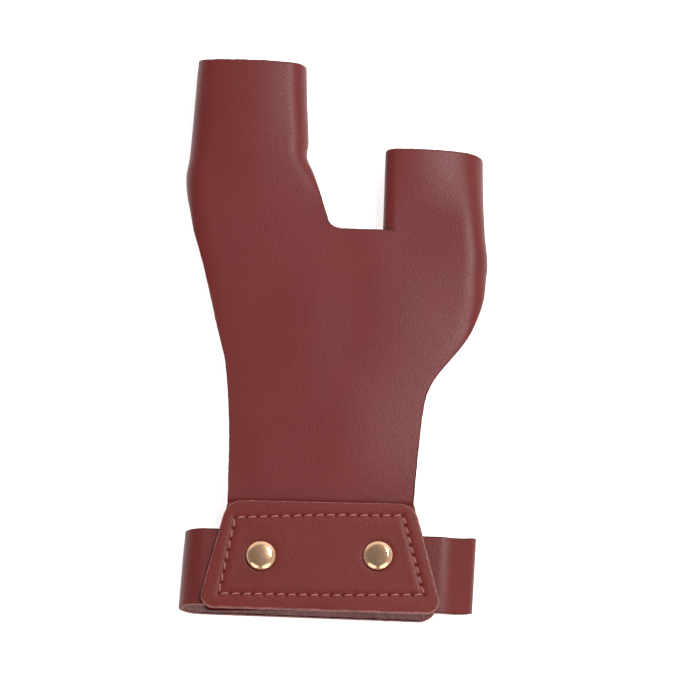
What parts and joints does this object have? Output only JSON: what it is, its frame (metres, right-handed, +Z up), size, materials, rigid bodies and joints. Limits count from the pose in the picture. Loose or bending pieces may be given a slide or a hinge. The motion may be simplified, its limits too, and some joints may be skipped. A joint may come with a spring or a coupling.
{
  "type": "archery glove",
  "caption": "Leather bow-hand archery glove: a palm sheet folded back into an index stall and a thumb stall, with a stitched wrist plate riveted over a wrap-round wrist strap.",
  "frame": {"origin": "on the table, below the middle of the glove's box as it lies palm up", "axes": "+Y from the wrist towards the fingertips, +X from the index stall towards the thumb stall, +Z up, away from the table and out of the palm side"},
  "size_m": [0.104, 0.2022, 0.0182],
  "materials": {
    "hand_leather": "smooth oxblood leather with a soft sheen and a fine pebble grain",
    "plate_leather": "smooth oxblood leather, a little darker, with a tonal stitch line",
    "strap_leather": "smooth oxblood leather with a rough suede flesh side",
    "fastener_fabric": "dark hook and loop pile",
    "rivet_brass": "polished pale gold"
  },
  "bodies": {
    "root": {"hand_sheet": "hand_leather", "wrist_plate": "plate_leather", "strap_left": "strap_leather", "strap_right": "strap_leather", "strap_fastener": "fastener_fabric", "rivet_left": "rivet_brass", "rivet_right": "rivet_brass"}
  },
  "joints": []
}
